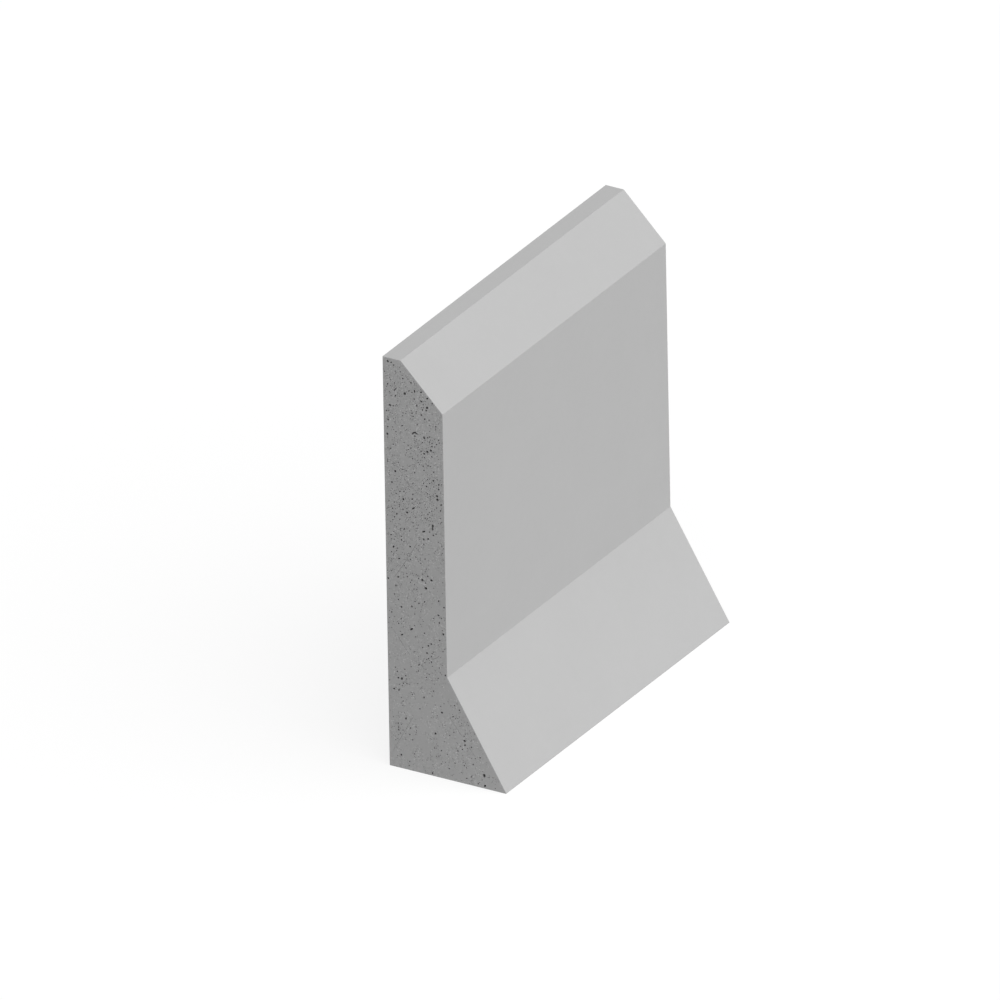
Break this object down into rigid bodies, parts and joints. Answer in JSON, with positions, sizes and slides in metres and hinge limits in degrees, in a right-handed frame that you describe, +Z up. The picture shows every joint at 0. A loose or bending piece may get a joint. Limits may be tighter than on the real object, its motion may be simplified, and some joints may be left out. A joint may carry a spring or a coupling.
{
  "type": "concrete kerb stone",
  "caption": "Upright concrete kerb stone with a plumb back, a bevelled crest and a foot splayed out to a toe, for the base of a wall or the edge of a path.",
  "frame": {"origin": "middle of the bedding face: half way along the kerb, half way between back face and toe, on the ground", "axes": "+X along the kerb line, +Y out of the plumb back face, so the toe points to -Y, +Z up"},
  "size_m": [0.385, 0.1186, 0.4],
  "materials": {
    "concrete": "matte"
  },
  "bodies": {
    "root": {"kerb_stone": "concrete"}
  },
  "joints": []
}
